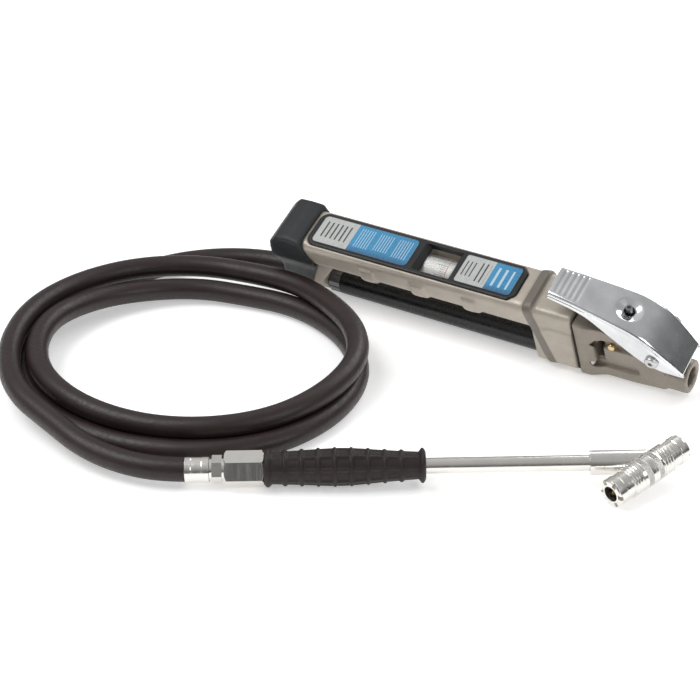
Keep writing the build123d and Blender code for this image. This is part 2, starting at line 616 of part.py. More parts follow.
RIB_PITCH = 8.65
with BuildPart() as grip:
    with BuildSketch(Plane.XZ):
        with BuildLine():
            Line((GRIP_START, 4.3), (GRIP_START, 8.2))
            Spline((GRIP_START, 8.2), (60.0, 8.7), (82.0, 9.4), (103.0, 8.1), (GRIP_END, 7.0))
            Polyline((GRIP_END, 7.0), (GRIP_END, 4.3), (GRIP_START, 4.3))
        make_face()
    revolve(axis=Axis.X)
    add(turned([(GRIP_START, 4.3), (GRIP_START + 3.4, 4.3), (GRIP_START + 3.4, 9.4), (GRIP_START + 2.6, 9.8),
                (GRIP_START + 0.8, 9.8), (GRIP_START, 9.4)]))
    add(turned([(GRIP_END - 3.4, 4.3), (GRIP_END, 4.3), (GRIP_END, 9.0), (GRIP_END - 0.8, 9.4),
                (GRIP_END - 2.6, 9.4), (GRIP_END - 3.4, 9.0)]))
    for rib in range(1, 9):
        rib_x = GRIP_START + 2.0 + rib * RIB_PITCH
        rib_r = 9.9 - 0.0011 * (rib_x - 80.0) ** 2
        add(turned([(rib_x - 0.8, 4.3), (rib_x + 0.8, 4.3), (rib_x + 0.8, rib_r - 0.3), (rib_x, rib_r),
                    (rib_x - 0.8, rib_r - 0.3)]))
write("grip", grip.part, WAND_PLACE)

write("wand_tube", sleeve(26.5, 221.0, WAND_TUBE_R, 3.0), WAND_PLACE)

# ---------------------------------------------------------------- wand: twin connector
CONNECTOR_CENTRE = (238.5, -7.0, -0.9)
CONNECTOR_AXIS = Location(CONNECTOR_CENTRE, (0, -CONNECTOR_RISE, CONNECTOR_YAW))

barrel_outline = [(-20.0, MOUTH_R + 1.7), (-8.0, MOUTH_R + 1.7), (-8.0, 2.4), (8.0, 2.4),
                  (8.0, MOUTH_R + 1.7), (20.0, MOUTH_R + 1.7), (20.0, 7.3), (15.0, 7.3)]
for ring in range(4):
    ring_x = 14.6 - 1.9 * ring
    barrel_outline += [(ring_x, 8.1), (ring_x - 1.1, 8.1), (ring_x - 1.4, 7.7)]
barrel_outline += [(6.0, 8.1), (2.0, 8.3), (-2.0, 8.3), (-6.0, 8.1)]
for ring in range(4):
    ring_x = -7.5 - 1.9 * ring
    barrel_outline += [(ring_x, 7.7), (ring_x - 0.3, 8.1), (ring_x - 1.4, 8.1)]
barrel_outline += [(-15.0, 7.3), (-20.0, 7.3)]
with BuildPart() as connector_body:
    add(CONNECTOR_AXIS * turned(barrel_outline))
    add(CONNECTOR_AXIS * sleeve(-7.0, 7.0, 3.2, 0), mode=Mode.SUBTRACT)
write("connector_body", connector_body.part, WAND_PLACE)

with BuildPart() as head_socket:
    add(sleeve(SOCKET_START, 240.0, SOCKET_R, 0))
    add(sleeve(SOCKET_START - 1.0, 221.0, WAND_TUBE_R, 0), mode=Mode.SUBTRACT)
    add(sleeve(220.0, 245.0, 2.6, 0), mode=Mode.SUBTRACT)
    add(CONNECTOR_AXIS * sleeve(-40.0, 40.0, 8.3, 0), mode=Mode.SUBTRACT)
    add(CONNECTOR_AXIS * Location((0, -30.0, 0)) * Box(120.0, 60.0, 60.0, mode=Mode.PRIVATE), mode=Mode.SUBTRACT)
write("head_socket", head_socket.part, WAND_PLACE)

for end_name, end_turn in (("lower", 180.0), ("upper", 0.0)):
    end_place = CONNECTOR_AXIS * Location((0, 0, 0), (0, 0, end_turn))
    with BuildPart() as connector_cap:
        add(turned([(20.0, MOUTH_R), (26.0, MOUTH_R), (26.0, 7.2), (25.4, 7.8), (20.6, 7.8), (20.0, 7.4)]))
        for notch in range(6):
            notch_place = Location((26.0, 0, 0), (60.0 * notch, 0, 0)) * Location((0, 6.6, 0))
            add(notch_place * Box(3.0, 3.0, 2.4, mode=Mode.PRIVATE), mode=Mode.SUBTRACT)
    write(f"connector_cap_{end_name}", end_place * connector_cap.part, WAND_PLACE)
    write(f"connector_seal_{end_name}", end_place * sleeve(15.0, 20.0, MOUTH_R + 1.65, 3.4), WAND_PLACE)
    plunger = turned([(9.6, 0), (18.6, 0), (18.6, 0.9), (12.6, 1.3), (12.6, 3.4), (11.0, 3.4), (11.0, 1.3),
                      (9.6, 1.3)])
    write(f"connector_plunger_{end_name}", end_place * plunger, WAND_PLACE)
    plunger_spring = Location((8.0, 0, 0), (0, 90, 0)) * coil_spring(2.9, 2.5, 0.3, 2)
    write(f"connector_spring_{end_name}", end_place * plunger_spring, WAND_PLACE)

# ---------------------------------------------------------------- hose
HOSE_WAND_POINTS = [(WAND_PLACE * Location((12.4, 0, 0))).position,
                    (WAND_PLACE * Location((-9.0, 0, 0))).position,
                    (-101.8, -127.2, 9.6), (-127.8, -127.7, 11.0), (-154.8, -120.4, 12.6),
                    (-176.6, -106.0, 13.6)]
HOSE_BODY_Y = HANDLE_Y - TUBE_Z * 0.41723
HOSE_BODY_POINTS = [(-139.2, HOSE_BODY_Y, TUBE_R), (-160.0, HOSE_BODY_Y, TUBE_R), (-183.1, 102.3, 7.6),
                    (-203.4, 89.6, 7.2), (-219.5, 71.8, 7.0), (-230.0, 50.2, 7.0)]
COIL_CENTRE, COIL_RADII, COIL_TURN = (-140.7, -14.9), (111.9, 98.4), -29.3
COIL_HOLE, COIL_HOLE_RADII, COIL_HOLE_TURN = (-134.4, -15.6), (83.5, 72.0), 31.9
COIL_HEIGHT = 24.0


def hose_run(name, points):
    """A length of hose along filleted corners, with its bend radii and its volume printed."""
    corners = [Vector(*point) for point in points]
    bend_radii = []
    for before, corner, after in zip(corners, corners[1:], corners[2:]):
        turn = (corner - before).get_angle(after - corner)
        shorter = min((corner - before).length, (after - corner).length)
        bend_radii.append(0.45 * shorter / tan(radians(turn / 2)))
    with BuildPart() as run:
        with BuildLine() as route:
            FilletPolyline(*corners, radius=bend_radii)
        with BuildSketch(Plane(origin=corners[0], z_dir=corners[1] - corners[0])) as section:
            Circle(HOSE_OD / 2)
            Circle(HOSE_BORE / 2, mode=Mode.SUBTRACT)
        sweep()
    swept = section.sketch.area * sum(edge.length for edge in route.edges())
    print(name, "radii", [round(r, 1) for r in bend_radii], "volume", round(run.part.volume), round(swept))
    return run.part


write("hose_wand_run", hose_run("hose_wand_run", HOSE_WAND_POINTS))
write("hose_body_run", hose_run("hose_body_run", HOSE_BODY_POINTS))

with BuildPart() as hose_coil:
    with BuildSketch():
        with Locations(Location((*COIL_CENTRE, 0), (0, 0, COIL_TURN))):
            Ellipse(*COIL_RADII)
        with Locations(Location((*COIL_HOLE, 0), (0, 0, COIL_HOLE_TURN))):
            Ellipse(*COIL_HOLE_RADII, mode=Mode.SUBTRACT)
    extrude(amount=COIL_HEIGHT)
    fillet(hose_coil.edges(), 6.0)
write("hose_coil", hose_coil.part)
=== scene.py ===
"""Looks of the portable tire inflator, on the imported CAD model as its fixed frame.

Lengths named here are in millimetres. Two local frames are used, as in the CAD: the handle's, with
x = 0 at the air inlet and z = 0 on the label face, and the wand's, with x = 0 at the hose ferrule.
"""
import json
import math

import bpy
from mathutils import Matrix, Vector


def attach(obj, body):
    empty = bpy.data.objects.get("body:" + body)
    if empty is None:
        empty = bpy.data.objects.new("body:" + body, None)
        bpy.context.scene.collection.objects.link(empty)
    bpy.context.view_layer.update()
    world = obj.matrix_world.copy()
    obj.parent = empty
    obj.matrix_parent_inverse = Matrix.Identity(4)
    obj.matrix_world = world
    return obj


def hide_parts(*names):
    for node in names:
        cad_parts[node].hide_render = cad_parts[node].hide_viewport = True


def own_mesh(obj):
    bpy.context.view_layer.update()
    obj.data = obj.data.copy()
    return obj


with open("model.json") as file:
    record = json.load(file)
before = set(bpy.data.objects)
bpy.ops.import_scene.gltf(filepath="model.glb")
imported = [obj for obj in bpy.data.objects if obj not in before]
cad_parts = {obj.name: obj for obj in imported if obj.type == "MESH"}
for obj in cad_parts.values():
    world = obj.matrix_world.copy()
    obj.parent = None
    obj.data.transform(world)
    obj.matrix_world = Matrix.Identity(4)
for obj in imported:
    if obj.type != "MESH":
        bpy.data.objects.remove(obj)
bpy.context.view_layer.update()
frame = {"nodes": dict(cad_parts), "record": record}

MM = 0.001
HOSE_OD = 13.0
ROLL = math.radians(24.66)
INLET_Z = -42.5
WAND_START = Vector((-71.2, -115.28, 9.3))
WAND_YAW = math.radians(32.6)
WAND_RISE = math.radians(0.85)

mounts = {mount["name"]: mount for mount in frame["record"]["mounts"]}
handle_turn = Matrix.Rotation(ROLL, 4, "X")
inlet = Vector(mounts["air_inlet"]["pos_m"]) / MM
HANDLE = Matrix.Translation(inlet) @ handle_turn @ Matrix.Translation((0, 0, -INLET_Z))
wand_turn = Matrix.Rotation(WAND_YAW, 4, "Z") @ Matrix.Rotation(-WAND_RISE, 4, "Y")
WAND = Matrix.Translation(WAND_START) @ wand_turn
mouths = [Vector(mounts["connector_mouth_" + end]["pos_m"]) / MM for end in ("lower", "upper")]
connector_axis = (mouths[1] - mouths[0]).normalized()
connector_across = Vector((0, 0, 1)).cross(connector_axis).normalized()
connector_up = connector_axis.cross(connector_across)
connector_turn = Matrix((connector_axis, connector_across, connector_up)).transposed().to_4x4()
CONNECTOR = Matrix.Translation((mouths[0] + mouths[1]) / 2) @ connector_turn


# ---------------------------------------------------------------- camera
CAMERA_PLACE = (0.4317, -0.7616, 0.5514)
CAMERA_AIM = (-0.0715, 0.0473, 0.0014)
CAMERA_LENS = 96.69
CAMERA_SENSOR = 36.0


def add_object(name, data):
    """A new object in the scene's collection."""
    obj = bpy.data.objects.new(name, data)
    bpy.context.scene.collection.objects.link(obj)
    return obj


def aim(obj, target):
    """Turn an object's -Z towards a point in metres."""
    obj.rotation_euler = (Vector(target) - obj.location).to_track_quat("-Z", "Y").to_euler()


camera_data = bpy.data.cameras.new("camera")
camera_data.lens = CAMERA_LENS
camera_data.sensor_width = CAMERA_SENSOR
camera = add_object("camera", camera_data)
camera.location = CAMERA_PLACE
aim(camera, CAMERA_AIM)
bpy.context.scene.camera = camera

# ---------------------------------------------------------------- hose, on the CAD model's route
HOSE_WAND_POINTS = [WAND @ Vector((12.4, 0, 0)), WAND @ Vector((-9.0, 0, 0)), Vector((-101.8, -127.2, 9.6)),
                    Vector((-127.8, -127.7, 11.0)), Vector((-154.8, -120.4, 13.6))]
HOSE_BODY_Y = (HANDLE @ Vector((0, 0, -47.0))).y
HOSE_BODY_POINTS = [Vector((-139.2, HOSE_BODY_Y, 8.0)), Vector((-160.0, HOSE_BODY_Y, 8.0)),
                    Vector((-183.1, 102.3, 7.6)), Vector((-203.4, 89.6, 7.2)), Vector((-219.5, 71.8, 6.8))]
COIL_CENTRE = Vector((-135.0, -11.0, 0.0))
COIL_FIRST_ANGLE = -120.0
COIL_STATION_STEP = 45.0
# radius and height of the hose's centre at each station, clockwise from the wand's end
COIL_STATIONS = [(111.5, 16.5), (106.0, 20.2), (99.5, 17.5), (88.0, 15.5), (82.0, 19.5), (92.0, 20.0),
                 (92.0, 15.5), (89.5, 14.0), (94.0, 18.0), (93.5, 16.5), (83.5, 9.5), (75.0, 6.6),
                 (80.5, 6.6), (92.5, 6.6), (101.5, 6.6), (100.5, 6.6), (100.5, 6.6), (105.5, 6.6),
                 (110.0, 6.6)]
COIL_POINTS_PER_STATION = 2
# the line lies inside its control points, so they stand a little further out
COIL_SPREAD = 1.02


def coil_points():
    """The loose turns of the hose, with radius and height eased from one station to the next."""
    points = []
    steps = (len(COIL_STATIONS) - 1) * COIL_POINTS_PER_STATION
    for step in range(steps + 1):
        place = step / COIL_POINTS_PER_STATION
        station = min(int(place), len(COIL_STATIONS) - 2)
        share = place - station
        before, after = COIL_STATIONS[station], COIL_STATIONS[station + 1]
        ease = share * share * (3 - 2 * share)
        radius = (before[0] + (after[0] - before[0]) * ease) * COIL_SPREAD
        height = before[1] + (after[1] - before[1]) * ease
        angle = math.radians(COIL_FIRST_ANGLE - COIL_STATION_STEP * place)
        points.append(COIL_CENTRE + Vector((radius * math.cos(angle), radius * math.sin(angle), height)))
    return points


def hose_curve(name, points):
    """A round hose on one smooth NURBS line along its route, its radius carried by the points."""
    curve = bpy.data.curves.new(name, "CURVE")
    curve.dimensions = "3D"
    spline = curve.splines.new("NURBS")
    spline.points.add(len(points) - 1)
    for control, point in zip(spline.points, points):
        control.co = (*(point * MM), 1.0)
        control.radius = HOSE_OD / 2 * MM
    spline.order_u = 3
    spline.use_endpoint_u = True
    spline.use_smooth = True
    curve.resolution_u = 10
    curve.bevel_depth = 1.0
    curve.bevel_resolution = 8
    curve.use_fill_caps = True
    return add_object(name, curve)


hose_points = HOSE_WAND_POINTS + coil_points() + HOSE_BODY_POINTS[::-1]
hose = hose_curve("hose", hose_points)
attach(hose, "inflator")
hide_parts("hose_wand_run", "hose_coil", "hose_body_run")


# ---------------------------------------------------------------- materials
class Look:
    """A node material with a Principled shader and short ways to add its texture nodes."""

    def __init__(self, name, colour, roughness, metallic=0.0, place=None):
        self.material = bpy.data.materials.new(name)
        self.material.use_nodes = True
        self.nodes = self.material.node_tree.nodes
        self.links = self.material.node_tree.links
        self.shader = self.nodes["Principled BSDF"]
        self.colour = colour
        self.set("Base Color", (*colour, 1.0))
        self.set("Roughness", roughness)
        self.set("Metallic", metallic)
        self.material.diffuse_color = (*colour, 1.0)
        self.where = self.nodes.new("ShaderNodeTexCoord").outputs["Object"]
        if place is not None:
            self.where = self.local(place)

    def set(self, socket, value):
        self.shader.inputs[socket].default_value = value

    def local(self, place):
        """Object coordinates turned into a local frame, in metres."""
        mapping = self.nodes.new("ShaderNodeMapping")
        mapping.vector_type = "TEXTURE"
        mapping.inputs["Location"].default_value = place.to_translation() * MM
        mapping.inputs["Rotation"].default_value = place.to_euler()
        self.links.new(self.where, mapping.inputs["Vector"])
        return mapping.outputs["Vector"]

    def axes(self):
        """The x, y and z of the place, in millimetres."""
        split = self.nodes.new("ShaderNodeSeparateXYZ")
        self.links.new(self.where, split.inputs[0])
        return [self.maths("MULTIPLY", out, 1 / MM) for out in split.outputs]

    def maths(self, operation, *values):
        """One Math node on sockets or numbers."""
        node = self.nodes.new("ShaderNodeMath")
        node.operation = operation
        for socket, value in zip(node.inputs, values):
            if isinstance(value, (int, float)):
                socket.default_value = value
            else:
                self.links.new(value, socket)
        return node.outputs[0]

    def noise(self, size, detail=3.0, stretch=(1.0, 1.0, 1.0)):
        """Noise with features of that size in millimetres, longer along an axis where stretch is small."""
        mapping = self.nodes.new("ShaderNodeMapping")
        mapping.inputs["Scale"].default_value = stretch
        self.links.new(self.where, mapping.inputs["Vector"])
        node = self.nodes.new("ShaderNodeTexNoise")
        node.inputs["Scale"].default_value = 1 / (size * MM)
        node.inputs["Detail"].default_value = detail
        self.links.new(mapping.outputs["Vector"], node.inputs["Vector"])
        return node.outputs[0]

    def between(self, value, low, high, new_low=0.0, new_high=1.0):
        """Map Range, clamped."""
        node = self.nodes.new("ShaderNodeMapRange")
        for index, number in enumerate((low, high, new_low, new_high), start=1):
            node.inputs[index].default_value = number
        self.links.new(value, node.inputs[0])
        return node.outputs[0]

    def mix(self, share, first, second):
        """A colour between two, each a colour or a socket."""
        node = self.nodes.new("ShaderNodeMix")
        node.data_type = "RGBA"
        self.links.new(share, node.inputs[0])
        for socket, value in ((node.inputs[6], first), (node.inputs[7], second)):
            if isinstance(value, tuple):
                socket.default_value = (*value, 1.0)
            else:
                self.links.new(value, socket)
        return node.outputs[2]

    def inside(self, value, low, high, soft=0.08):
        """1 where the value is between two limits."""
        rise = self.between(value, low - soft, low + soft)
        fall = self.between(value, high - soft, high + soft, 1.0, 0.0)
        return self.maths("MULTIPLY", rise, fall)

    def mottle(self, size, amount):
        """Slightly uneven colour."""
        dark = tuple(channel * (1 - amount) for channel in self.colour)
        light = tuple(min(1.0, channel * (1 + amount)) for channel in self.colour)
        patches = self.between(self.noise(size, 4.0), 0.3, 0.7)
        self.paint(self.mix(patches, dark, light))

    def paint(self, colour):
        self.links.new(colour, self.shader.inputs["Base Color"])

    def rough(self, size, low, high, stretch=(1.0, 1.0, 1.0)):
        """Uneven roughness."""
        patches = self.between(self.noise(size, 3.0, stretch), 0.3, 0.7, low, high)
        self.links.new(patches, self.shader.inputs["Roughness"])

    def relief(self, height, depth, edge=0.0):
        """Bump of that depth in millimetres, over edges rounded in shading by that radius."""
        bump = self.nodes.new("ShaderNodeBump")
        bump.inputs["Distance"].default_value = depth * MM
        self.links.new(height, bump.inputs["Height"])
        if edge:
            rounded = self.nodes.new("ShaderNodeBevel")
            rounded.samples = 4
            rounded.inputs["Radius"].default_value = edge * MM
            self.links.new(rounded.outputs[0], bump.inputs["Normal"])
        self.links.new(bump.outputs[0], self.shader.inputs["Normal"])


COLLAR_REAR, COLLAR_FRONT, COLLAR_LEAN = -90.7, -84.7, math.radians(14)


def cast_metal(name, colour, metallic):
    """Die casting with a fine sandy skin, darker round the machined collar in front of the cover."""
    look = Look(name, colour, 0.42, metallic, HANDLE)
    dark = tuple(channel * 0.90 for channel in colour)
    light = tuple(channel * 1.08 for channel in colour)
    colour_now = look.mix(look.between(look.noise(14.0, 4.0), 0.3, 0.7), dark, light)
    x, _, z = look.axes()
    along = look.maths("ADD", look.maths("MULTIPLY", x, math.cos(COLLAR_LEAN)),
                       look.maths("MULTIPLY", z, math.sin(COLLAR_LEAN)))
    collar = look.inside(along, COLLAR_REAR, COLLAR_FRONT, 0.4)
    look.paint(look.mix(collar, colour_now, tuple(channel * 0.42 for channel in colour)))
    look.rough(3.0, 0.36, 0.52)
    look.relief(look.noise(0.45, 2.0), 0.035, edge=0.7)
    return look.material


def moulded(name, colour, roughness, grain=0.6, depth=0.03, edge=0.5):
    """Moulded plastic or painted metal."""
    look = Look(name, colour, roughness)
    look.mottle(9.0, 0.12)
    look.rough(5.0, roughness - 0.05, roughness + 0.07)
    look.relief(look.noise(grain, 2.0), depth, edge)
    return look.material


def plated(name, colour, roughness, wave=6.0, depth=0.02, edge=0.25, place=None, stretch=(1.0, 1.0, 1.0)):
    """Bright plate, with the slight waviness or the turning marks of the metal below."""
    look = Look(name, colour, roughness, 1.0, place)
    look.mottle(11.0, 0.03)
    look.rough(2.5, max(0.03, roughness - 0.04), roughness + 0.08, stretch)
    look.relief(look.noise(wave, 2.0, stretch), depth, edge)
    return look.material


def hose_rubber():
    """Brown-black hose cover with a fine cloth impression."""
    look = Look("hose_rubber", (0.022, 0.0125, 0.012), 0.40)
    look.mottle(16.0, 0.16)
    look.rough(2.2, 0.33, 0.50)
    weave = look.maths("ADD", look.noise(0.7, 1.0), look.maths("MULTIPLY", look.noise(2.4, 1.0), 0.5))
    look.relief(weave, 0.10)
    look.set("Specular IOR Level", 0.42)
    return look.material


def grip_rubber():
    """Soft moulded rubber, a little worn and dusty."""
    look = Look("grip_rubber", (0.019, 0.0125, 0.0115), 0.55)
    look.mottle(7.0, 0.22)
    look.rough(2.0, 0.42, 0.62)
    look.relief(look.noise(0.5, 2.0), 0.06)
    look.set("Specular IOR Level", 0.35)
    return look.material


def clear_lens():
    """Clear window of the gauge."""
    look = Look("lens_clear", (0.97, 0.98, 0.99), 0.04)
    look.set("Transmission Weight", 0.95)
    look.set("IOR", 1.25)
    look.set("Alpha", 0.45)
    look.relief(look.noise(8.0, 1.0), 0.01)
    return look.material


SILVER, BLUE, DEEP_BLUE = (0.50, 0.51, 0.50), (0.035, 0.27, 0.50), (0.012, 0.10, 0.22)
INK, PAPER = (0.05, 0.055, 0.06), (0.45, 0.62, 0.74)


def label_print(name, low, high, split, silver_bars, blue_bars):
    """A printed plate: silver, then blue from the split on, with plain bars that stand for its print.

    The bars are (first x, last x, pitch, thickness, half length, sideways shift), in the handle's frame."""
    look = Look(name, SILVER, 0.36, 0.0, HANDLE)
    x, y, _ = look.axes()
    shade = look.between(x, split, high)
    blue = look.mix(shade, BLUE, (0.03, 0.22, 0.42))
    edge_shade = look.between(y, -10.4, -5.0, 1.0, 0.0)
    blue = look.mix(edge_shade, blue, DEEP_BLUE)
    sheen = look.between(look.noise(0.25, 1.0, (1.0, 0.05, 1.0)), 0.3, 0.7)
    silver = look.mix(sheen, (0.42, 0.43, 0.42), (0.56, 0.57, 0.56))
    colour = look.mix(look.between(x, split - 0.12, split + 0.12), silver, blue)
    for bars, ink in ((silver_bars, INK), (blue_bars, PAPER)):
        for first, last, pitch, thickness, half, offset in bars:
            row = look.maths("MODULO", look.maths("SUBTRACT", x, first - 50 * pitch), pitch)
            line = look.inside(row, 0.0, thickness)
            line = look.maths("MULTIPLY", line, look.inside(x, first, last))
            line = look.maths("MULTIPLY", line, look.inside(look.maths("SUBTRACT", y, offset), -half, half))
            colour = look.mix(line, colour, ink)
    middle, reach = (low + high) / 2, (high - low) / 2
    off = look.maths("ABSOLUTE", look.maths("SUBTRACT", x, middle))
    border = look.maths("MAXIMUM", look.between(off, reach - 0.55, reach - 0.35),
                        look.between(look.maths("ABSOLUTE", y), 9.9, 10.1))
    look.paint(look.mix(border, colour, INK))
    look.rough(1.5, 0.24, 0.36)
    look.set("Coat Weight", 0.5)
    look.set("Coat Roughness", 0.12)
    look.relief(look.noise(2.0, 2.0), 0.008, edge=0.12)
    return look.material


def drum_scale():
    """White gauge drum with graduations round it and one red line."""
    look = Look("drum_white", (0.80, 0.79, 0.75), 0.38, 0.0, HANDLE)
    x, y, z = look.axes()
    turn = look.maths("ARCTAN2", y, look.maths("ADD", z, 11.5))
    degrees = look.maths("MULTIPLY", turn, 180 / math.pi)
    fine = look.inside(look.maths("MODULO", look.maths("ADD", degrees, 360.0), 9.0), 0.0, 1.5, 0.3)
    coarse = look.inside(look.maths("MODULO", look.maths("ADD", degrees, 360.0), 45.0), 0.0, 2.4, 0.3)
    fine = look.maths("MULTIPLY", fine, look.inside(x, -153.0, -149.6))
    coarse = look.maths("MULTIPLY", coarse, look.inside(x, -155.5, -149.6))
    colour = look.mix(look.maths("MAXIMUM", fine, coarse), look.colour, INK)
    colour = look.mix(look.inside(x, -148.9, -148.5), colour, (0.55, 0.05, 0.03))
    look.paint(colour)
    look.relief(look.noise(1.0, 2.0), 0.01)
    return look.material


def knurled(name, colour):
    """Turned nickel with a fine knurl round its middle, in the connector's frame."""
    look = Look(name, colour, 0.20, 1.0, CONNECTOR)
    x, y, z = look.axes()
    turn = look.maths("ARCTAN2", y, z)
    teeth = look.maths("ABSOLUTE", look.maths("SINE", look.maths("MULTIPLY", turn, 45.0)))
    band = look.inside(look.maths("ABSOLUTE", x), 2.2, 5.6, 0.2)
    turned = look.noise(0.35, 1.0, (1.0, 0.04, 0.04))
    height = look.maths("ADD", look.maths("MULTIPLY", teeth, band), look.maths("MULTIPLY", turned, 0.12))
    look.rough(1.2, 0.14, 0.30, (1.0, 0.1, 0.1))
    look.relief(height, 0.22, edge=0.25)
    return look.material


DIMPLE = (-33.0, 0.0, 8.0, 2.0)


def lever_plate():
    """Bright zinc plate, with cloudy reflections, and a near-black disc of painted shade at the bottom of the
    screw's dimple, for the dark of its opening and the dark screw in it.
    """
    look = Look("lever_chrome", (0.78, 0.80, 0.81), 0.13, 1.0, HANDLE)
    x, y, _ = look.axes()
    shift = look.maths("MULTIPLY", look.maths("SUBTRACT", look.noise(2.5, 2.0), 0.5), 2.0)
    across = look.maths("POWER", look.maths("SUBTRACT", y, DIMPLE[1]), 2.0)
    along = look.maths("POWER", look.maths("SUBTRACT", x, DIMPLE[0]), 2.0)
    away = look.maths("ADD", look.maths("SQRT", look.maths("ADD", across, along)), shift)
    shade = look.mix(look.between(look.noise(12.0, 2.0), 0.3, 0.7), (0.70, 0.72, 0.73), (0.84, 0.85, 0.86))
    # painted shade: a near-black disc at the dimple's bottom stands for the dark of the screw's opening,
    # partly the dark screw itself; the mesh stays closed there
    painted_hole_shade = look.between(away, 3.1, 3.7, 1.0, 0.0)
    look.paint(look.mix(painted_hole_shade, shade, (0.015, 0.015, 0.016)))
    look.rough(4.0, 0.08, 0.20)
    look.relief(look.noise(16.0, 2.0), 0.22, edge=0.3)
    return look.material


NICKEL = (0.80, 0.78, 0.74)
looks = {
    "cast_handle": cast_metal("cast_handle", (0.44, 0.395, 0.335), 0.40),
    "cast_head": cast_metal("cast_head", (0.30, 0.265, 0.225), 0.60),
    "cover_black": moulded("cover_black", (0.006, 0.006, 0.007), 0.34, edge=0.8),
    "label_silver": label_print("rear_label", -236.8, -171.2, -212.5,
                                [(-233.0, -216.0, 3.2, 1.1, 6.0, 0.5)],
                                [(-209.5, -199.5, 1.7, 0.45, 7.2, 0.8), (-196.5, -186.5, 1.7, 0.45, 6.4, 1.2),
                                 (-183.5, -174.5, 1.7, 0.45, 7.0, 0.6)]),
    "lens_clear": clear_lens(),
    "drum_white": drum_scale(),
    "steel": plated("steel", (0.60, 0.60, 0.60), 0.30, wave=0.6),
    "steel_dark": plated("steel_dark", (0.20, 0.20, 0.21), 0.34, wave=0.6),
    "brass": plated("brass", (0.76, 0.58, 0.30), 0.24, wave=0.8),
    "piston_plastic": moulded("piston_plastic", (0.70, 0.69, 0.64), 0.45),
    "seal_rubber": moulded("seal_rubber", (0.02, 0.02, 0.02), 0.55),
    "tube_black": moulded("tube_black", (0.010, 0.010, 0.011), 0.26, grain=1.2, depth=0.012),
    "boot_charcoal": moulded("boot_charcoal", (0.010, 0.012, 0.014), 0.46, grain=0.5, depth=0.04, edge=1.6),
    "lever_chrome": lever_plate(),
    "nickel": plated("nickel", NICKEL, 0.17, wave=0.35, depth=0.012, place=WAND, stretch=(1.0, 0.04, 0.04)),
    "grip_rubber": grip_rubber(),
    "hose_rubber": hose_rubber(),
}
special_looks = {
    "front_label": label_print("front_label", -139.8, -103.2, -120.5,
                               [(-137.5, -130.5, 2.6, 0.8, 5.5, 0.5), (-128.0, -122.0, 2.9, 1.0, 7.0, 0.0)],
                               [(-117.5, -107.0, 4.6, 1.6, 6.8, 0.0)]),
    "connector_body": knurled("connector_nickel", NICKEL),
}
for part in frame["record"]["subparts"]:
    node = frame["nodes"][part["node"]]
    node.data.materials.clear()
    node.data.materials.append(special_looks.get(part["node"], looks[part["material_slot"]]))
hose.data.materials.append(looks["hose_rubber"])


# ---------------------------------------------------------------- softened edges of the castings
def soften(node_name, voxel, passes):
    """Round a casting's or a moulding's edges, keeping its faces where they are."""
    node = frame["nodes"][node_name]
    even = node.modifiers.new("even", "REMESH")
    even.mode = "VOXEL"
    even.voxel_size = voxel * MM
    even.use_smooth_shade = True
    smooth = node.modifiers.new("smooth", "SMOOTH")
    smooth.factor = 0.5
    smooth.iterations = passes


SOFTEN_VOXEL = 0.8
soften("rear_boot", SOFTEN_VOXEL, 30)
soften("handle_casting", SOFTEN_VOXEL, 6)
soften("valve_body", SOFTEN_VOXEL, 6)


def squeeze(node_name):
    """A copy of a CAD spring on the inflator's body, shown in place of the CAD node."""
    node = frame["nodes"][node_name]
    spring = add_object(node_name + "_coils", node.data.copy())
    spring.matrix_world = node.matrix_world
    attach(spring, "inflator")
    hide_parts(node_name)
    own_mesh(spring)


squeeze("gauge_spring")
squeeze("inflate_valve_spring")
squeeze("deflate_valve_spring")
squeeze("connector_spring_lower")
squeeze("connector_spring_upper")


# ---------------------------------------------------------------- mesh helpers
def smooth_mesh(name, points, faces, place, body, slot_name, stands_for=(), subdivide=0, sheet=0.0):
    """A smooth mesh from local millimetre points, with its finish, body and the CAD nodes it stands for."""
    mesh = bpy.data.meshes.new(name)
    mesh.from_pydata([place @ Vector(point) * MM for point in points], [], faces)
    mesh.validate()
    mesh.shade_smooth()
    obj = add_object(name, mesh)
    if sheet:
        thick = obj.modifiers.new("sheet", "SOLIDIFY")
        thick.thickness = sheet * MM
        thick.offset = -1.0
    if subdivide:
        finer = obj.modifiers.new("smooth", "SUBSURF")
        finer.levels = subdivide
        finer.render_levels = subdivide
    mesh.materials.append(looks[slot_name])
    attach(obj, body)
    if stands_for:
        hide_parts(*stands_for)
    return obj


def grid_faces(rows, columns, close_columns=False):
    """Faces of a grid of rows by columns, numbered row by row."""
    faces = []
    for row in range(rows - 1):
        for column in range(columns if close_columns else columns - 1):
            after = (column + 1) % columns
            faces.append((row * columns + column, row * columns + after,
                          (row + 1) * columns + after, (row + 1) * columns + column))
    return faces


def between_points(table, x):
    """Smooth value at x through (x, value) pairs in rising order of x (Catmull-Rom)."""
    if x <= table[0][0]:
        return table[0][1]
    if x >= table[-1][0]:
        return table[-1][1]
    index = max(i for i in range(len(table) - 1) if table[i][0] <= x)
    x0, y0 = table[index]
    x1, y1 = table[index + 1]
    before = table[index - 1] if index else (2 * x0 - x1, 2 * y0 - y1)
    after = table[index + 2] if index + 2 < len(table) else (2 * x1 - x0, 2 * y1 - y0)
    slope0 = (y1 - before[1]) / (x1 - before[0])
    slope1 = (after[1] - y0) / (after[0] - x0)
    t = (x - x0) / (x1 - x0)
    width = x1 - x0
    return ((2 * t**3 - 3 * t**2 + 1) * y0 + (t**3 - 2 * t**2 + t) * width * slope0
            + (3 * t**2 - 2 * t**3) * y1 + (t**3 - t**2) * width * slope1)


def hump(value):
    """A smooth hump, 1 at 0 and 0 beyond -1 and 1."""
    return (1 - value * value) ** 2 if abs(value) < 1 else 0.0


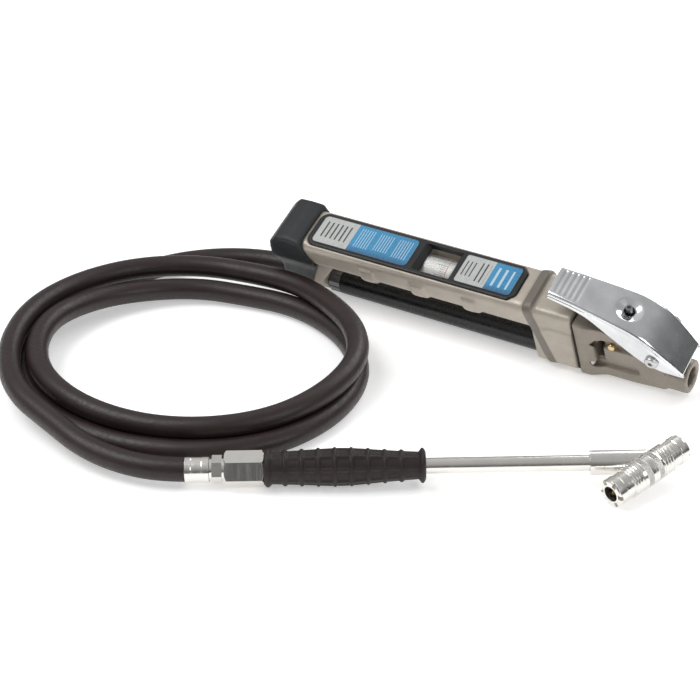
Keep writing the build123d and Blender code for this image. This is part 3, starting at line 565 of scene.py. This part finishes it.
# ---------------------------------------------------------------- grip
GRIP_START, GRIP_END = 41.0, 125.0
GRIP_BORE = 4.3
END_ROUND = 0.7
GRIP_BODY = [(41.0, 8.3), (60.0, 8.6), (82.0, 9.1), (103.0, 7.9), (125.0, 7.0)]
RIB_PITCH = 8.65
LONG_RIBS = 8


def grip_radius(x, angle):
    """Ribbed rubber grip: rings round it, ribs along it between the rings, and a flange at each end."""
    body = between_points(GRIP_BODY, x)
    ring = 0.0
    for rib in range(1, 9):
        rib_x = GRIP_START + 2.2 + rib * RIB_PITCH
        ring = max(ring, hump((x - rib_x) / 2.0) * (1.35 - 0.00022 * (rib_x - 80.0) ** 2))
    flange = max(hump((x - GRIP_START - 1.9) / 2.6) * 1.7, hump((x - GRIP_END + 1.7) / 2.4) * 2.2)
    phase = (angle * LONG_RIBS / (2 * math.pi)) % 1.0 - 0.5
    along = hump(phase * 5.0) * 0.95 * hump((x - 83.0) / 50.0)
    return body + max(ring, flange, along)


def add_grip():
    rows, columns = 421, 128
    angles = [2 * math.pi * column / columns for column in range(columns)]
    points = [(GRIP_START, GRIP_BORE * math.cos(angle), GRIP_BORE * math.sin(angle)) for angle in angles]
    for row in range(rows):
        x = GRIP_START + (GRIP_END - GRIP_START) * row / (rows - 1)
        for angle in angles:
            end = min(1.0, (x - GRIP_START + 0.02) / END_ROUND, (GRIP_END - x + 0.02) / END_ROUND)
            radius = grip_radius(x, angle) - 0.5 * (1 - math.sqrt(1 - (1 - end) ** 2))
            points.append((x, radius * math.cos(angle), radius * math.sin(angle)))
    points += [(GRIP_END, GRIP_BORE * math.cos(angle), GRIP_BORE * math.sin(angle)) for angle in angles]
    smooth_mesh("grip_ribbed", points, grid_faces(rows + 2, columns, True), WAND, "inflator", "grip_rubber",
                ["grip"])


add_grip()

# ---------------------------------------------------------------- lever
LEVER_TOP = [(-77.0, 13.6), (-70.0, 12.8), (-60.0, 11.0), (-42.0, 7.0), (-28.0, 3.0), (-18.0, -3.0),
             (-8.0, -14.0), (1.0, -26.0)]
LEVER_EDGE = [(-77.0, 8.8), (-56.0, 3.2), (-40.0, -8.5), (-22.0, -22.0), (-12.0, -26.0), (1.0, -28.5)]
LEVER_HALF = [(-77.0, 10.6), (-55.0, 12.1), (-30.0, 13.9), (-14.0, 13.9), (1.0, 12.0)]
THUMB_GROOVES = (-73.4, -70.2, -67.0, -63.8, -60.6)
SHOULDER = 2.2


def lever_height(x, y):
    """The lever's upper face: crowned, with thumb grooves and the dimple of its adjusting screw."""
    half = between_points(LEVER_HALF, x)
    height = between_points(LEVER_TOP, x) - 0.5 * (y / half) ** 2
    across = max(0.0, min(1.0, (half - SHOULDER - abs(y)) / 1.4))
    for groove_x in THUMB_GROOVES:
        height -= 0.6 * hump((x - groove_x) / 1.3) * across
    dimple_x, dimple_y, reach, depth = DIMPLE
    away = math.hypot(x - dimple_x, y - dimple_y) / reach
    if away < 1:
        height -= depth * min(1.0, 1.8 * (1 - away))
    return height


def add_lever():
    stations = [-77.9] + [-77.0 + 78.0 * step / 130 for step in range(131)]
    flat, bend, side = 32, 6, 10
    points = []
    for x in stations:
        inside_x = max(x, -77.0)
        half = between_points(LEVER_HALF, inside_x)
        edge = between_points(LEVER_EDGE, inside_x)
        drop = 1.0 if x < -77.0 else 0.0
        section = []
        top_edge = half - SHOULDER
        for step in range(side):
            shoulder_z = lever_height(inside_x, half) - SHOULDER
            crease = 0.8 if step == side - 1 else 0.0
            section.append((half - crease, edge + (shoulder_z - edge) * step / side))
        for step in range(bend):
            turn = math.pi / 2 * step / bend
            shoulder_z = lever_height(inside_x, top_edge) - SHOULDER
            section.append((top_edge + SHOULDER * math.cos(turn), shoulder_z + SHOULDER * math.sin(turn)))
        over = [top_edge * (1 - 2 * step / flat) for step in range(flat + 1)]
        over = [(y, lever_height(inside_x, y)) for y in over]
        full = section + over + [(-y, z) for y, z in reversed(section)]
        points += [(x, y, z - drop) for y, z in full]
    columns = 2 * (side + bend) + flat + 1
    smooth_mesh("lever_pressed", points, grid_faces(len(stations), columns), HANDLE, "lever", "lever_chrome",
                ["lever"], subdivide=1, sheet=1.5)


add_lever()

# ---------------------------------------------------------------- floor and light
floor_half = 3.0
floor_mesh = bpy.data.meshes.new("floor")
floor_corners = [(-floor_half, -floor_half, 0), (floor_half, -floor_half, 0),
                 (floor_half, floor_half, 0), (-floor_half, floor_half, 0)]
floor_mesh.from_pydata(floor_corners, [], [(0, 1, 2, 3)])
floor = add_object("floor", floor_mesh)
floor.location.z = -0.0002
floor_look = Look("floor_pale", (0.88, 0.88, 0.88), 0.9)
floor_look.mottle(900.0, 0.01)
floor_look.set("Emission Color", (1.0, 1.0, 1.0, 1.0))
floor_look.set("Emission Strength", 0.40)
floor_mesh.materials.append(floor_look.material)

world = bpy.data.worlds.new("studio")
bpy.context.scene.world = world
world.use_nodes = True
background = world.node_tree.nodes["Background"]
background.inputs["Color"].default_value = (1.0, 1.0, 1.0, 1.0)
direction = world.node_tree.nodes.new("ShaderNodeTexCoord")
split = world.node_tree.nodes.new("ShaderNodeSeparateXYZ")
world.node_tree.links.new(direction.outputs["Generated"], split.inputs[0])


def sky_share(output, low, high, new_low, new_high):
    """The studio's brightness along one axis of direction."""
    node = world.node_tree.nodes.new("ShaderNodeMapRange")
    for index, number in enumerate((low, high, new_low, new_high), start=1):
        node.inputs[index].default_value = number
    world.node_tree.links.new(output, node.inputs[0])
    return node.outputs[0]


total = world.node_tree.nodes.new("ShaderNodeMath")
total.operation = "ADD"
world.node_tree.links.new(sky_share(split.outputs[2], 0.15, 0.80, 0.08, 0.44), total.inputs[0])
world.node_tree.links.new(sky_share(split.outputs[0], -0.7, 0.3, 0.28, 0.0), total.inputs[1])
world.node_tree.links.new(total.outputs[0], background.inputs["Strength"])


def add_softbox(name, place, target, width, height, power):
    """A rectangular area light."""
    data = bpy.data.lights.new(name, "AREA")
    data.shape = "RECTANGLE"
    data.size = width
    data.size_y = height
    data.energy = power
    lamp = add_object(name, data)
    lamp.location = place
    aim(lamp, target)


add_softbox("key_light", (-0.7, -0.5, 1.3), (-0.05, 0.0, 0.0), 0.9, 0.9, 11.0)
add_softbox("back_light", (0.2, 1.3, 1.0), (0.0, 0.0, 0.0), 1.4, 0.6, 9.0)
add_softbox("side_light", (1.2, -0.2, 0.8), (0.0, 0.0, 0.0), 0.6, 0.6, 4.0)

bpy.context.scene.view_settings.view_transform = "Standard"
